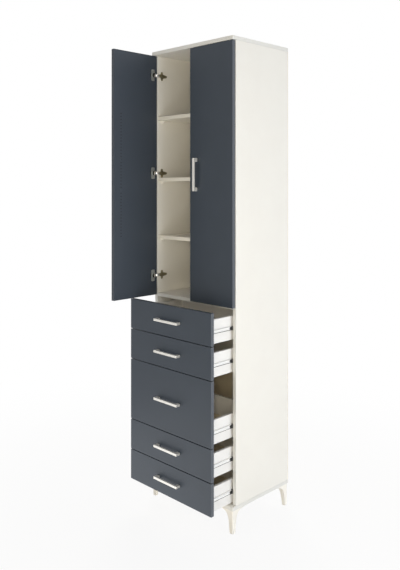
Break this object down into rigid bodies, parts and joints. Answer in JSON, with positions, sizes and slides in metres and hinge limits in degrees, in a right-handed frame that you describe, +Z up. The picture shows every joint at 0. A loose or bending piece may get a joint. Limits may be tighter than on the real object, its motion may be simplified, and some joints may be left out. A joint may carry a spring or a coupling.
{
  "type": "tall cabinet",
  "caption": "Tall narrow storage cabinet with slab doors over shelves and pull-out drawers below, satin bar handles and curved bracket feet.",
  "frame": {"origin": "on the floor, under the middle of the box round the cabinet as it stands with the left door open and the drawers pulled out", "axes": "+Z up, +X to the right seen from the front, +Y from the fronts to the back"},
  "size_m": [0.514, 0.5904, 2.001],
  "materials": {
    "cream_melamine": "satin cream melamine on particle board",
    "anthracite_front": "satin anthracite laminate on fibreboard",
    "white_box_board": "matt white melamine",
    "hardboard": "lacquered thin hardboard",
    "satin_nickel": "satin nickel",
    "zinc_steel": "zinc-plated sheet steel",
    "ivory_plastic": "satin ivory moulding"
  },
  "bodies": {
    "cabinet": {"left_side_panel": "cream_melamine", "right_side_panel": "cream_melamine", "top_panel": "cream_melamine", "bottom_panel": "cream_melamine", "divider_panel": "cream_melamine", "back_panel": "hardboard", "lower_shelf": "cream_melamine", "middle_shelf": "cream_melamine", "upper_shelf": "cream_melamine", "front_left_foot": "ivory_plastic", "front_right_foot": "ivory_plastic", "rear_left_foot": "ivory_plastic", "rear_right_foot": "ivory_plastic", "left_lower_hinge_arm": "satin_nickel", "left_middle_hinge_arm": "satin_nickel", "left_upper_hinge_arm": "satin_nickel", "right_lower_hinge_arm": "satin_nickel", "right_middle_hinge_arm": "satin_nickel", "right_upper_hinge_arm": "satin_nickel", "drawer_1_left_rail": "zinc_steel", "drawer_1_right_rail": "zinc_steel", "drawer_2_left_rail": "zinc_steel", "drawer_2_right_rail": "zinc_steel", "drawer_3_left_rail": "zinc_steel", "drawer_3_right_rail": "zinc_steel", "drawer_4_left_rail": "zinc_steel", "drawer_4_right_rail": "zinc_steel", "drawer_5_left_rail": "zinc_steel", "drawer_5_right_rail": "zinc_steel"},
    "left_door": {"left_door_panel": "anthracite_front", "left_door_handle": "satin_nickel", "left_lower_hinge_cup": "satin_nickel", "left_middle_hinge_cup": "satin_nickel", "left_upper_hinge_cup": "satin_nickel"},
    "right_door": {"right_door_panel": "anthracite_front", "right_door_handle": "satin_nickel", "right_lower_hinge_cup": "satin_nickel", "right_middle_hinge_cup": "satin_nickel", "right_upper_hinge_cup": "satin_nickel"},
    "drawer_1": {"drawer_1_front": "anthracite_front", "drawer_1_box": "white_box_board", "drawer_1_bottom": "hardboard", "drawer_1_handle": "satin_nickel"},
    "drawer_2": {"drawer_2_front": "anthracite_front", "drawer_2_box": "white_box_board", "drawer_2_bottom": "hardboard", "drawer_2_handle": "satin_nickel"},
    "drawer_3": {"drawer_3_front": "anthracite_front", "drawer_3_box": "white_box_board", "drawer_3_bottom": "hardboard", "drawer_3_handle": "satin_nickel"},
    "drawer_4": {"drawer_4_front": "anthracite_front", "drawer_4_box": "white_box_board", "drawer_4_bottom": "hardboard", "drawer_4_handle": "satin_nickel"},
    "drawer_5": {"drawer_5_front": "anthracite_front", "drawer_5_box": "white_box_board", "drawer_5_bottom": "hardboard", "drawer_5_handle": "satin_nickel"}
  },
  "joints": [
    {"name": "left_door_hinge", "type": "hinge", "parent": "cabinet", "child": "left_door", "pos_m": [-0.227, -0.05875, 1.4445], "axis": [0, 0, -1], "range_deg": [-90, 15]},
    {"name": "right_door_hinge", "type": "hinge", "parent": "cabinet", "child": "right_door", "pos_m": [0.249, -0.05875, 1.4445], "axis": [0, 0, 1], "range_deg": [0, 105]},
    {"name": "drawer_1_slide", "type": "slide", "parent": "cabinet", "child": "drawer_1", "axis": [0, -1, 0], "range_m": [-0.123, 0.097]},
    {"name": "drawer_2_slide", "type": "slide", "parent": "cabinet", "child": "drawer_2", "axis": [0, -1, 0], "range_m": [-0.123, 0.097]},
    {"name": "drawer_3_slide", "type": "slide", "parent": "cabinet", "child": "drawer_3", "axis": [0, -1, 0], "range_m": [-0.123, 0.097]},
    {"name": "drawer_4_slide", "type": "slide", "parent": "cabinet", "child": "drawer_4", "axis": [0, -1, 0], "range_m": [-0.123, 0.097]},
    {"name": "drawer_5_slide", "type": "slide", "parent": "cabinet", "child": "drawer_5", "axis": [0, -1, 0], "range_m": [-0.123, 0.097]}
  ]
}
